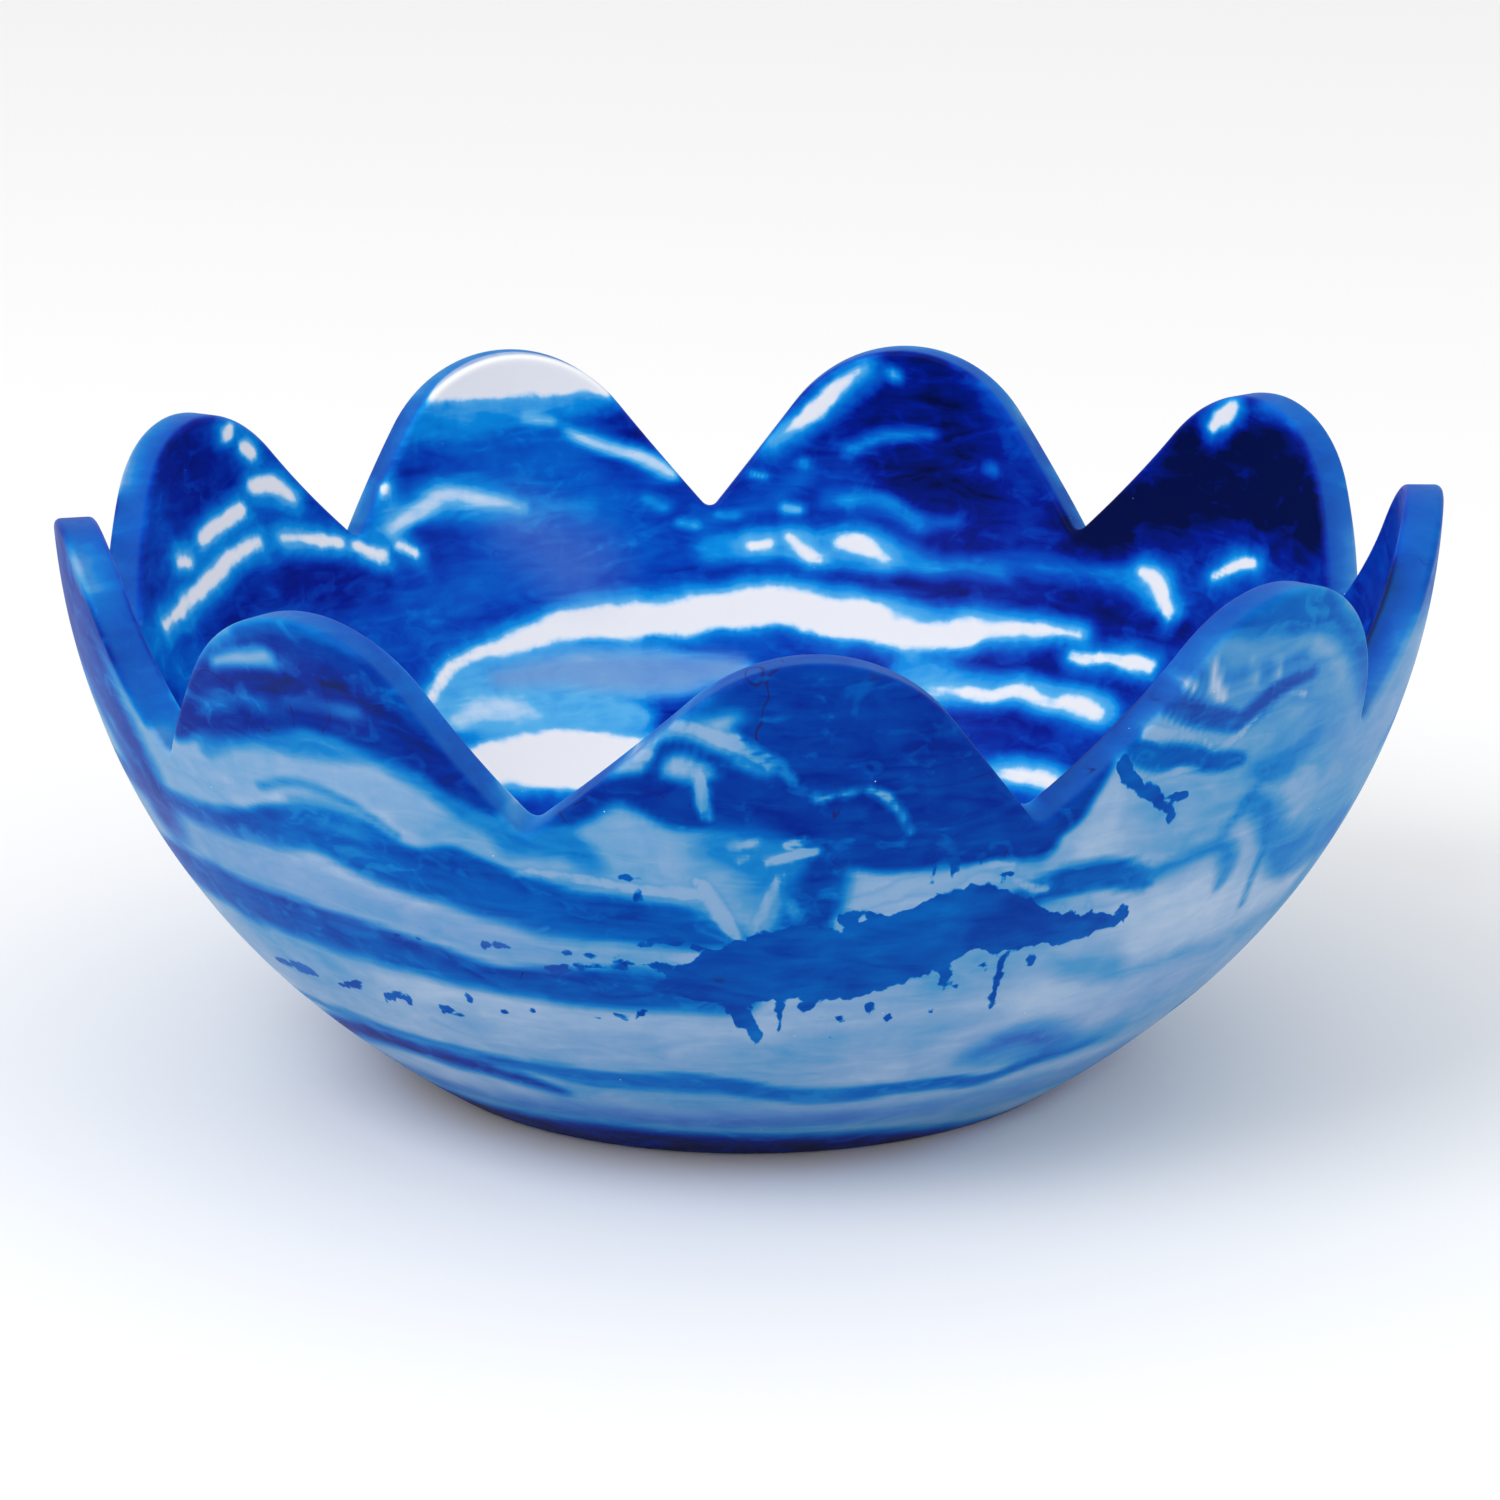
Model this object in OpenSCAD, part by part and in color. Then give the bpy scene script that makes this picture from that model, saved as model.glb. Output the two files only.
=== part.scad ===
// Nine-petal bowl, hand poured in marbled blue and milky casting resin.
// One casting: each node is one batch of resin, or one petal, bonded to the next.
// Millimetres. Z is up, the origin is the centre of the flat foot, and the
// first petal points along -Y. Petals count anticlockwise seen from above.

/* [Bowl] */
// Width across the petal tips
bowl_d = 280; // [230:1:350]
// Height of the petal tips above the table
bowl_h = 120; // [95:1:150]
// Width of the flat foot
foot_d = 136; // [110:1:165]
// Thickness of the wall, square to its surface
wall_t = 8; // [5:0.5:12]
// Thickness of the floor inside the foot
floor_t = 9; // [6:0.5:12]

/* [Curve of the wall] */
// How much further the wall leans out at the foot than a straight wall would, in degrees
foot_bow = 26; // [22:0.5:28]
// How much nearer upright the wall is at the petal tips than a straight wall would be
rim_bow = 29.5; // [26:0.5:32]
// Length of the flatter lower curve against the rounder upper curve
lower_curve = 0.35; // [0.2:0.05:1]

/* [Petals] */
// Number of petals
petal_count = 9; // [7:1:10]
// Height of a petal, from the notch beside it to its tip
petal_h = 35; // [25:1:50]
// Radius of the rounded tip of a petal
tip_r = 33; // [24:1:35]
// Radius of the saw-cut root of a notch
notch_r = 2; // [1:0.5:4]
// How far below the notches the petals' own resin reaches
petal_root = 4; // [3:0.5:8]

/* [Pours, by height from the foot up] */
// Dark cobalt pour with the foot and the floor
foot_pour = 12; // [6:1:20]
// Lilac grey pour
lilac_pour = 8; // [3:1:16]
// Thin azure pour
thin_azure_pour = 7; // [3:1:16]
// Wide milky pour
wide_milky_pour = 19; // [8:1:30]
// Cobalt pour round the waist
waist_pour = 12; // [5:1:20]
// Narrow milky pour
narrow_milky_pour = 9; // [4:1:18]
// Azure pour under the petals
shoulder_pour = 14; // [6:1:24]

/* [Hand finish] */
// How far each petal stands off its even place, in degrees
petal_turn = [0.5, 2, 0, -0.5, 0, -0.5, -1.5, 0, -1.5]; // [-4:0.5:4]
// How far each tip stands above or below the even height
petal_rise = [-1.5, 1.5, 1.5, 1.5, 1, 1.5, 0, -0.5, -0.5]; // [-2:0.5:2]
// How far the notch after each petal stands off its even place, in degrees
notch_turn = [-1, -3, 0, 0, -0.5, -1.5, -1, 0, -2]; // [-4:0.5:4]
// How far the notch after each petal stands above or below the even height
notch_rise = [-0.5, 3, -2, -1.5, -1.5, -0.5, 0, -0.5, -1.5]; // [-3:0.5:3]

/* [Hidden] */
$fn = 96;
cobalt = "#0b2a9a";
azure = "#1769c9";
milky = "#b7c4dd";
lilac = "#8796c4";
over = 1;               // how far a cutting shape runs past the wall
arc_steps = 12;         // chords in each curve of a petal's outline

// The outside of the wall is two arcs, tangent to each other where they meet
foot_pt = [foot_d / 2, 0];
tip_pt = [bowl_d / 2, bowl_h];
span = tip_pt - foot_pt;
straight_lean = atan2(span[0], span[1]);
foot_lean = straight_lean + foot_bow;
rim_lean = straight_lean - rim_bow;
foot_dir = [sin(foot_lean), cos(foot_lean)];
tip_dir = [sin(rim_lean), cos(rim_lean)];
pull = lower_curve * foot_dir + tip_dir;
qa = pull * pull - pow(1 + lower_curve, 2);
qb = -2 * (span * pull);
qc = span * span;
upper_reach = (-qb - sqrt(qb * qb - 4 * qa * qc)) / (2 * qa);
lower_reach = lower_curve * upper_reach;
lower_knee = foot_pt + lower_reach * foot_dir;
upper_knee = tip_pt - upper_reach * tip_dir;
join_pt = lower_knee + (upper_knee - lower_knee) * lower_curve / (1 + lower_curve);
join_lean = atan2(upper_knee[0] - lower_knee[0], upper_knee[1] - lower_knee[1]);
lower_r = lower_reach / tan((foot_lean - join_lean) / 2);
upper_r = upper_reach / tan((join_lean - rim_lean) / 2);
lower_c = foot_pt - lower_r * [cos(foot_lean), -sin(foot_lean)];
upper_c = tip_pt - upper_r * [cos(rim_lean), -sin(rim_lean)];

// Outside radius of the wall at a height above the join
function wall_r(z) = upper_c[0] + sqrt(pow(upper_r, 2) - pow(z - upper_c[1], 2));

// Places of the petals and of the notches between them
step = 360 / petal_count;
function pick(list, i) = list[(i + petal_count) % petal_count % len(list)];
function petal_at(i) = -90 + i * step + pick(petal_turn, i);
function notch_at(i) = -90 + (i + 0.5) * step + pick(notch_turn, i);
function tip_z(i) = bowl_h + pick(petal_rise, i);
function notch_z(i) = bowl_h - petal_h + pick(notch_rise, i);
root_z = bowl_h - petal_h + min(notch_rise) - petal_root;

// Three pours fill the lower curve, and four the upper curve up to the petals' roots
low_pours = [foot_pour, lilac_pour, thin_azure_pour];
high_pours = [wide_milky_pour, waist_pour, narrow_milky_pour, shoulder_pour];
function sum_to(list, n) = n == 0 ? 0 : list[n - 1] + sum_to(list, n - 1);
function share(list, n) = sum_to(list, n) / sum_to(list, len(list));
function low_z(n) = join_pt[1] * share(low_pours, n);
function high_z(n) = join_pt[1] + (root_z - join_pt[1]) * share(high_pours, n);

pour_names = ["foot_pour", "lilac_pour", "thin_azure_pour", "wide_milky_pour",
              "waist_cobalt_pour", "narrow_milky_pour", "shoulder_azure_pour"];
pour_colours = [cobalt, lilac, azure, milky, cobalt, milky, azure];
petal_colours = [cobalt, milky, azure, cobalt, cobalt, azure, cobalt, azure, cobalt];
petal_names = [for (i = [1:petal_count]) str("petal_", i)];

// Half section of the floor and of a wall that follows one of the two curves
module wall_section(centre, r) {
    difference() {
        intersection() {
            translate(centre) circle(r);
            square([bowl_d, 2 * bowl_h]);
        }
        intersection() {
            translate(centre) circle(r - wall_t);
            translate([-over, floor_t]) square([bowl_d, 2 * bowl_h]);
        }
    }
}

// The part of that wall and floor between two heights
module wall_ring(centre, r, z0, z1) {
    rotate_extrude()
        intersection() {
            wall_section(centre, r);
            translate([0, z0]) square([bowl_d, z1 - z0]);
        }
}

module low_pour(n) {
    color(pour_colours[n]) wall_ring(lower_c, lower_r, low_z(n), low_z(n + 1));
}

module high_pour(n) {
    color(pour_colours[n + len(low_pours)]) wall_ring(upper_c, upper_r, high_z(n), high_z(n + 1));
}

function arc(c, r, a0, a1) =
    [for (k = [0:arc_steps]) let (a = a0 + (a1 - a0) * k / arc_steps) c + r * [cos(a), sin(a)]];

// Right half of a petal's outline: notch root, straight flank, rounded tip
function half_outline(tip_c, r, root_c) =
    let (e = root_c - tip_c,
         square_to_flank = atan2(e[1], e[0]) + acos((r + notch_r) / norm(e)))
    concat([[root_c[0], root_z - over]],
           arc(root_c, notch_r, -90, square_to_flank - 180),
           arc(tip_c, r, square_to_flank, 90));

function flip(points) = [for (k = [len(points) - 1:-1:0]) [-points[k][0], points[k][1]]];

// One petal: the wall cut to its outline, between the planes of its two notches
module petal(i) {
    right = notch_at(i) - petal_at(i);
    left = petal_at(i) - notch_at(i - 1);
    right_root = [wall_r(notch_z(i)) * sin(right), notch_z(i) + notch_r];
    left_root = [wall_r(notch_z(i - 1)) * sin(left), notch_z(i - 1) + notch_r];
    r = min(tip_r, right_root[0] - notch_r, left_root[0] - notch_r);
    tip_c = [0, tip_z(i) - r];
    color(pick(petal_colours, i)) rotate([0, 0, petal_at(i)])
        intersection() {
            wall_ring(upper_c, upper_r, root_z, 2 * bowl_h);
            rotate([90, 0, 90]) linear_extrude(bowl_d)
                polygon(concat(half_outline(tip_c, r, right_root),
                               flip(half_outline(tip_c, r, left_root))));
            linear_extrude(2 * bowl_h)
                polygon([[0, 0], bowl_d * [cos(left), -sin(left)], bowl_d * [cos(right), sin(right)]]);
        }
}

for (n = [0:len(low_pours) - 1]) low_pour(n);
for (n = [0:len(high_pours) - 1])
    high_pour(n);
for (i = [0:petal_count - 1]) petal(i);
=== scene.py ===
import math

import bpy
import mathutils
import numpy as np
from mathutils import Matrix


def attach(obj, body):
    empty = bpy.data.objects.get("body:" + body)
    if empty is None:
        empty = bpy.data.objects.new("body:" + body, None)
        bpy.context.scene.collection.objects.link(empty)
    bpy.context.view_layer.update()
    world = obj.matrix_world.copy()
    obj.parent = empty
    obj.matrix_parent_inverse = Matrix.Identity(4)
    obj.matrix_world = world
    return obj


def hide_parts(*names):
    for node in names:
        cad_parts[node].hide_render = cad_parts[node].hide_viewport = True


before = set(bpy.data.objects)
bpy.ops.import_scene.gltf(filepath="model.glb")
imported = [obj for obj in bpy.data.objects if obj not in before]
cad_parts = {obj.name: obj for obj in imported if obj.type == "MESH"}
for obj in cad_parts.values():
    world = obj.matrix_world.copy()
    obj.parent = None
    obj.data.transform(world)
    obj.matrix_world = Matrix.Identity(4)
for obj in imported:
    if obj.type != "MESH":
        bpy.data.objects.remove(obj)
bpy.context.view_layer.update()        # bodies, nodes, joints and the record of the petal bowl
scene = bpy.context.scene
mm = 0.001

camera = {
    "round": -4.4,        # degrees round the bowl from square in front of the first petal
    "away": 1.008,        # metres from the bowl's axis
    "up": 0.350,
    "tilt": 15.88,        # degrees below level
    "lens": 122.3,
    "shift": 0.0014,
    "farthest": 20,
}


def placeCamera():
    turn = math.radians(camera["round"])
    data = bpy.data.cameras.new("camera")
    data.lens = camera["lens"]
    data.shift_x = camera["shift"]
    data.clip_end = camera["farthest"]
    eye = bpy.data.objects.new("camera", data)
    eye.location = (math.sin(turn) * camera["away"], -math.cos(turn) * camera["away"], camera["up"])
    eye.rotation_euler = (math.radians(90 - camera["tilt"]), 0, turn)
    scene.collection.objects.link(eye)
    scene.camera = eye


placeCamera()
print("camera placed")

# Millimetres and degrees, the same sizes as the CAD part
bowl = {
    "rimRadius": 140,
    "height": 120,
    "footRadius": 68,
    "wall": 8,
    "floor": 9,
    "footBow": 26,            # degrees the wall leans out past a straight one at the foot
    "rimBow": 29.5,           # and back from it at the petal tips
    "lowerCurve": 0.35,       # the lower curve's length against the upper one's
    "petalHeight": 35,
    "tipRadius": 33,
    "notchRadius": 2,
    "petalTurn": [0.5, 2, 0, -0.5, 0, -0.5, -1.5, 0, -1.5],
    "petalRise": [-1.5, 1.5, 1.5, 1.5, 1, 1.5, 0, -0.5, -0.5],
    "notchTurn": [-1, -3, 0, 0, -0.5, -1.5, -1, 0, -2],
    "notchRise": [-0.5, 3, -2, -1.5, -1.5, -0.5, 0, -0.5, -1.5],
    "arris": 1.3,             # rounding of the cut rim's two edges
    "footRounding": 6,
    "floorBlend": 10,         # how softly the floor turns up into the wall
    "stray": 0.35,            # how far the hand-finished surface strays inwards
    "strayNoise": [(1, 26, 2), (0.4, 9, 4)],      # share, size and seed
}
# Rows and columns of its mesh, fine enough to carry the painted strokes
meshing = {
    "columnsPerPetal": 84,
    "levelTop": 76,           # height up to which the rows are level
    "outerRows": (60, 58),    # below that height, and above it
    "innerRows": (46, 52),
    "rowEase": 1.2,           # packs the lowest rows closer together
    "footRings": [0.04, 0.2, 0.45, 0.7, 0.88, 1.0],
    "roundingRings": [0.25, 0.5, 0.75, 1.0],
    "arrisTurns": [22, 45, 68, 90],
    "rimRings": [0.25, 0.5, 0.75],
    "floorRings": [0.97, 0.94, 0.91, 0.88, 0.85, 0.82, 0.78, 0.74, 0.7,
                   0.65, 0.6, 0.54, 0.47, 0.39, 0.3, 0.2, 0.1, 0.02],
    "wallEnd": 1.0,           # height above the floor's blend where the wall's rows end
    "below": 12,              # how far the wall's curve runs on under the floor, to blend into it
    "edgeRepeats": 14,        # passes that settle the height of the cut edge
}
petalCount = len(bowl["petalTurn"])
petalStep = 360 / petalCount
straightLean = math.degrees(math.atan2(bowl["rimRadius"] - bowl["footRadius"], bowl["height"]))
footLean = straightLean + bowl["footBow"]
rimLean = straightLean - bowl["rimBow"]


def alongLean(lean):
    return np.array([math.sin(math.radians(lean)), math.cos(math.radians(lean))])


def acrossLean(lean):
    return np.array([math.cos(math.radians(lean)), -math.sin(math.radians(lean))])


# The outside of the wall is two arcs, tangent to each other where they meet
def wallArcs():
    foot = np.array([bowl["footRadius"], 0.0])
    tip = np.array([bowl["rimRadius"], float(bowl["height"])])
    ratio = bowl["lowerCurve"]
    pull = ratio * alongLean(footLean) + alongLean(rimLean)
    span = tip - foot
    a = pull @ pull - (1 + ratio) ** 2
    b = -2 * span @ pull
    upperReach = (-b - math.sqrt(b * b - 4 * a * (span @ span))) / (2 * a)
    lowerReach = ratio * upperReach
    lowerKnee = foot + lowerReach * alongLean(footLean)
    upperKnee = tip - upperReach * alongLean(rimLean)
    join = lowerKnee + (upperKnee - lowerKnee) * ratio / (1 + ratio)
    lean = math.degrees(math.atan2(*(upperKnee - lowerKnee)))
    lowerR = lowerReach / math.tan(math.radians(footLean - lean) / 2)
    upperR = upperReach / math.tan(math.radians(lean - rimLean) / 2)
    return {
        "lowerC": foot - lowerR * acrossLean(footLean), "lowerR": lowerR,
        "upperC": tip - upperR * acrossLean(rimLean), "upperR": upperR,
        "joinZ": join[1], "joinLean": math.radians(lean),
    }


arcs = wallArcs()


# Radius of the wall at a height, at some depth below its outer surface
def wallRadius(z, depth=0.0):
    upper = z >= arcs["joinZ"] + depth * math.sin(arcs["joinLean"])
    centreR = np.where(upper, arcs["upperC"][0], arcs["lowerC"][0])
    centreZ = np.where(upper, arcs["upperC"][1], arcs["lowerC"][1])
    radius = np.where(upper, arcs["upperR"], arcs["lowerR"]) - depth
    return centreR + np.sqrt(np.maximum(radius ** 2 - (z - centreZ) ** 2, 0.01))


def wallLean(z):
    rise = 0.5
    return np.arctan2(wallRadius(z + rise) - wallRadius(z - rise), 2 * rise)


def petalAngle(i):
    return -90 + i * petalStep + bowl["petalTurn"][i % petalCount]


def notchAngle(i):
    return -90 + (i + 0.5) * petalStep + bowl["notchTurn"][i % petalCount]


# Height of a petal's outline at a distance across from its middle, drawn in by an inset
def outlineHeight(across, side, i, inset):
    notch = i if side > 0 else i - 1
    rise = bowl["notchRise"][notch % petalCount]
    notchZ = bowl["height"] - bowl["petalHeight"] + rise
    half = math.radians(abs(notchAngle(notch) - petalAngle(i)))
    root = np.array([float(wallRadius(np.array(notchZ))) * math.sin(half), notchZ + bowl["notchRadius"]])
    tip = np.array([0.0, bowl["height"] + bowl["petalRise"][i % petalCount] - bowl["tipRadius"]])
    tipR = bowl["tipRadius"] - inset
    rootR = bowl["notchRadius"] + inset
    reach = root - tip
    flank = math.atan2(reach[1], reach[0]) + math.acos((tipR + rootR) / np.linalg.norm(reach))
    normal = np.array([math.cos(flank), math.sin(flank)])
    top = tip + tipR * normal
    low = root - rootR * normal
    across = np.minimum(across, root[0])
    onTip = tip[1] + np.sqrt(np.maximum(tipR ** 2 - across ** 2, 0))
    onRoot = root[1] - np.sqrt(np.maximum(rootR ** 2 - (across - root[0]) ** 2, 0))
    onFlank = top[1] + (low[1] - top[1]) * (across - top[0]) / (low[0] - top[0])
    return np.where(across < top[0], onTip, np.where(across < low[0], onFlank, onRoot))


# Azimuth of each column of the mesh, closer together beside the notches
def columnAngles():
    count = meshing["columnsPerPetal"]
    share = np.arange(count) / count
    eased = share - 0.5 * np.sin(2 * math.pi * share) / (2 * math.pi)
    angles = []
    petals = []
    for i in range(petalCount):
        start = notchAngle(i - 1)
        angles.append(start + (notchAngle(i) - start) * eased)
        petals.append(np.full(share.shape, i))
    return np.concatenate(angles), np.concatenate(petals)


columns, columnPetal = columnAngles()


# Height of the cut edge on the outer surface, for every column
def edgeHeight(inset):
    z = np.full(columns.shape, float(bowl["height"]))
    for repeat in range(meshing["edgeRepeats"]):
        radius = wallRadius(z)
        for i in range(petalCount):
            off = np.radians(columns - petalAngle(i))
            for side in (-1, 1):
                here = (columnPetal == i) & (off * side >= 0)
                across = radius[here] * np.abs(np.sin(off[here]))
                z[here] = outlineHeight(across, side, i, inset)
    return z


# Smooth random values between -1 and 1 at points in millimetres
def wander(points, size, seed):
    cell = points / size + seed * 17.3
    base = np.floor(cell).astype(np.int64)
    part = cell - base
    part = part * part * (3 - 2 * part)
    total = np.zeros(len(points))
    for corner in range(8):
        step = np.array([corner & 1, corner >> 1 & 1, corner >> 2 & 1])
        at = base + step
        mixed = (at[:, 0] * 73856093) ^ (at[:, 1] * 19349663) ^ (at[:, 2] * 83492791)
        mixed = (mixed ^ (mixed >> 13)) * 1274126177 & 0x7FFFFFFF
        value = (mixed % 20011) / 10005.0 - 1
        total += value * np.prod(np.where(step, part, 1 - part), axis=1)
    return total


# Several of those together, each a share, a size and a seed
def wandered(places, noises):
    return sum(share * wander(places, size, seed) for share, size, seed in noises)


# Height on the outer surface of the point square across the wall from an inner height
def outerHeight(z):
    halfWall = bowl["wall"] / 2
    return z - bowl["wall"] * np.sin(wallLean(z - halfWall) - math.radians(rimLean))


# The mesh's rows run from the middle of the foot up the outside, over the rim and down to the
# middle of the floor. Each is its radius, its height, its share of the way through the wall
# and the height it is painted at, for every column.
flat = np.ones(columns.shape)


# The foot, its rounded edge, and the height at which the wall starts
def footRows():
    bend = math.radians(90 - footLean)
    rounding = bowl["footRounding"]
    flatRadius = bowl["footRadius"] - rounding * math.tan(bend / 2)
    rows = []
    for share in meshing["footRings"]:
        radius = flatRadius * share
        rows.append((radius * flat, 0 * flat, 0, (radius - flatRadius) * flat))
    for share in meshing["roundingRings"]:
        turn = bend * share
        low = rounding * (1 - math.cos(turn))
        rows.append(((flatRadius + rounding * math.sin(turn)) * flat, low * flat, 0, low * flat))
    return rows, rounding * (1 - math.cos(bend))


def outsideRows(start):
    edge = edgeHeight(bowl["arris"])
    top = meshing["levelTop"]
    levelRows, petalRows = meshing["outerRows"]
    rows = []
    for k in range(1, levelRows + 1):
        z = flat * (start + (top - start) * (k / levelRows) ** meshing["rowEase"])
        rows.append((wallRadius(z), z, 0, z))
    for k in range(1, petalRows + 1):
        z = top + (edge - top) * k / petalRows
        rows.append((wallRadius(z), z, 0, z))
    return rows


# Over the cut rim, by depth in the wall and by how far the outline is drawn in
def rimRows():
    arris = bowl["arris"]
    wall = bowl["wall"]
    turns = np.radians(meshing["arrisTurns"])
    over = [(arris * (1 - math.cos(a)), arris * (1 - math.sin(a))) for a in turns]
    back = [(wall - depth, inset) for depth, inset in reversed(over)]
    over += [(arris + (wall - 2 * arris) * share, 0) for share in meshing["rimRings"]]
    rows = []
    for depth, inset in over + back + [(wall, arris)]:
        outer = edgeHeight(inset)
        z = outer + depth * np.sin(wallLean(outer) - math.radians(rimLean))
        rows.append((wallRadius(z, depth), z, depth / wall, outer))
    return rows


def insideRows(edge):
    wall = bowl["wall"]
    floor = bowl["floor"]
    blend = bowl["floorBlend"]
    top = meshing["levelTop"]
    bottom = floor + blend + meshing["wallEnd"]
    levelRows, petalRows = meshing["innerRows"]
    rows = []
    for k in range(1, petalRows + 1):
        z = edge + (top - edge) * (k / petalRows)
        rows.append((wallRadius(z, wall), z, 1, outerHeight(z)))
    for k in range(1, levelRows + 1):
        z = flat * (top + (bottom - top) * k / levelRows)
        rows.append((wallRadius(z, wall), z, 1, outerHeight(z)))
    edgeRadius = float(wallRadius(np.array(bottom), wall))
    curve = np.linspace(floor - meshing["below"], bottom, 200)
    for share in meshing["floorRings"]:
        radius = edgeRadius * share
        wallZ = float(np.interp(radius, wallRadius(curve, wall), curve))
        near = max(blend - abs(wallZ - floor), 0) / blend
        z = max(wallZ, floor) + near ** 2 * blend / 4
        rows.append((radius * flat, z * flat, 1, rows[-1][3] - (rows[-1][0] - radius)))
    return rows


def meshRows():
    foot, start = footRows()
    rows = foot + outsideRows(start) + rimRows()
    return rows + insideRows(rows[-1][1])


def bowlMesh():
    rows = meshRows()
    turn = np.radians(columns)
    n = len(columns)
    points = []
    depth = []
    painted = []
    for radius, z, deep, height in rows:
        points.append(np.stack([radius * np.cos(turn), radius * np.sin(turn), z], axis=1))
        depth.append(np.full(n, deep))
        painted.append(height)
    points = np.concatenate(points)
    depth = np.concatenate(depth)
    painted = np.concatenate(painted)
    faces = []
    around = np.arange(n)
    after = (around + 1) % n
    for r in range(len(rows) - 1):
        low = r * n
        high = low + n
        faces.append(np.stack([low + around, low + after, high + after, high + around], axis=1))
    faces = np.concatenate(faces)
    corner = points[faces]
    firstWay = np.linalg.norm(corner[:, 0] - corner[:, 2], axis=1)
    otherWay = np.linalg.norm(corner[:, 1] - corner[:, 3], axis=1)
    turned = firstWay > otherWay                        # a quad is split across its shorter way
    faces[turned] = np.roll(faces[turned], 1, axis=1)
    faces = faces.tolist()
    most = sum(share for share, size, seed in bowl["strayNoise"])
    stray = bowl["stray"] * (wandered(points, bowl["strayNoise"]) - most) / (2 * most)
    stray[points[:, 2] < 0.5] = 0                       # the foot stays flat
    spread = np.hypot(points[:, 0], points[:, 1])
    points[:, :2] *= (1 + stray / spread)[:, None]
    faces.append(list(range(n - 1, -1, -1)))
    faces.append([(len(rows) - 1) * n + k for k in range(n)])
    mesh = bpy.data.meshes.new("petal_bowl")
    mesh.from_pydata((points * mm).tolist(), [], faces)
    return mesh, points, depth, painted


mesh, points, depth, painted = bowlMesh()
mesh.shade_smooth()
print("bowl mesh:", len(points), "points")
azimuth = np.degrees(np.arctan2(points[:, 1], points[:, 0]))


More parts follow.
